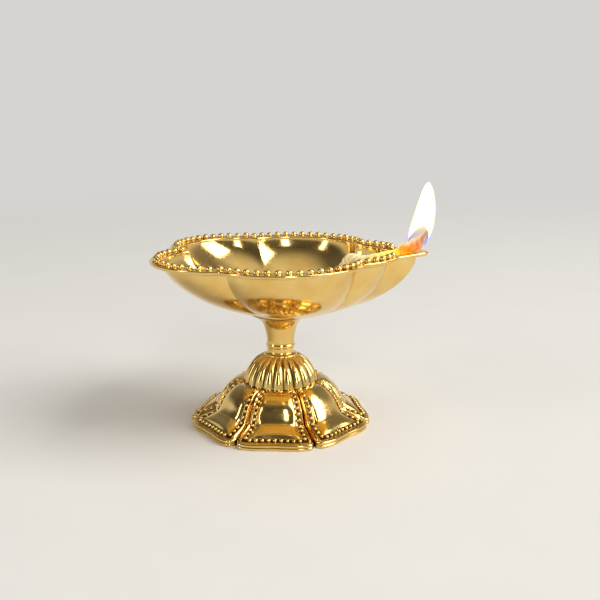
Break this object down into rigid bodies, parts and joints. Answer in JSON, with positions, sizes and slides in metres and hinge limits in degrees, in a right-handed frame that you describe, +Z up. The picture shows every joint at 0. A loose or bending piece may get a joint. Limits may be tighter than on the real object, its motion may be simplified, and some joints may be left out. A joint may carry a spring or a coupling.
{
  "type": "brass oil lamp",
  "caption": "Footed oil lamp: a lobed, beaded bowl with a wick spout, screwed by its stem to a petalled foot, with oil, a cotton wick and a flame.",
  "frame": {"origin": "on the table, under the middle of the lamp's box; the stem's axis is 5 mm from it, away from the spout", "axes": "+X towards the spout's tip, +Z up along the stem"},
  "size_m": [0.0844, 0.0774, 0.0764],
  "materials": {
    "polished_brass": "polished",
    "screw_brass": "satin",
    "lamp_oil": "gloss",
    "cotton": "matte",
    "fire": "gloss"
  },
  "bodies": {
    "base": {"foot": "polished_brass"},
    "screw": {"threaded_stud": "screw_brass"},
    "lamp_top": {"stem": "polished_brass", "bowl": "polished_brass", "oil": "lamp_oil"},
    "burning_wick": {"wick": "cotton", "flame": "fire"}
  },
  "joints": [
    {"name": "bowl_rise", "type": "slide", "parent": "base", "child": "screw", "axis": [0, 0, 1], "range_m": [0, 0.005]},
    {"name": "bowl_turn", "type": "hinge", "parent": "screw", "child": "lamp_top", "pos_m": [-0.00502, 0, 0.0242], "axis": [0, 0, 1], "range_deg": [0, 1800]},
    {"name": "wick_lift", "type": "slide", "parent": "lamp_top", "child": "burning_wick", "axis": [0, 0, 1], "range_m": [0, 0.03]}
  ],
  "couplings": [
    {"joint": "bowl_rise", "follows": "bowl_turn", "m_per_rad": 0.00015915}
  ]
}
